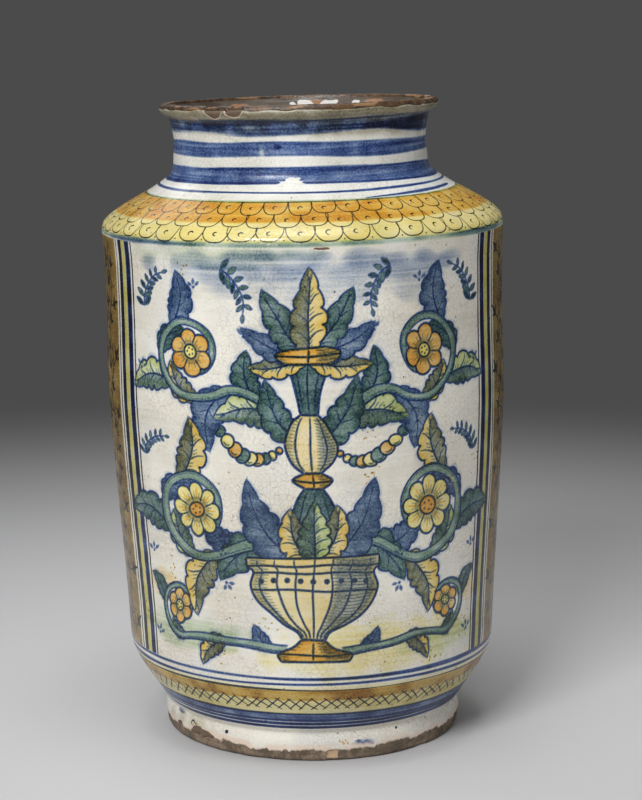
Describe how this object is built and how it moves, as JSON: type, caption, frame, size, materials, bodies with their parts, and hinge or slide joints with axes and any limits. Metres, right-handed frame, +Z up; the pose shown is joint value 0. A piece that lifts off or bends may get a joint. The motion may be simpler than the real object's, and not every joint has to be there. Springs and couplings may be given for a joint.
{
  "type": "storage jar",
  "caption": "Tall glazed earthenware storage jar with a low foot, straight wall, sloping shoulder, short neck and turned-out lip for a tied cover.",
  "frame": {"origin": "centre of the foot's flat underside, on the surface that the jar stands on", "axes": "+Z up along the jar's height; -Y towards the front of the painted panel; +X to the right seen from there, and the jar leans a little towards -X"},
  "size_m": [0.2028, 0.2012, 0.3219],
  "materials": {
    "clay": "matte",
    "painted_glaze": "gloss",
    "inner_glaze": "satin"
  },
  "bodies": {
    "root": {"base": "clay", "heel": "clay", "lower_wall": "clay", "upper_wall": "clay", "shoulder": "clay", "neck": "clay", "lip": "clay", "outer_glaze": "painted_glaze", "inner_glaze": "inner_glaze"}
  },
  "joints": []
}
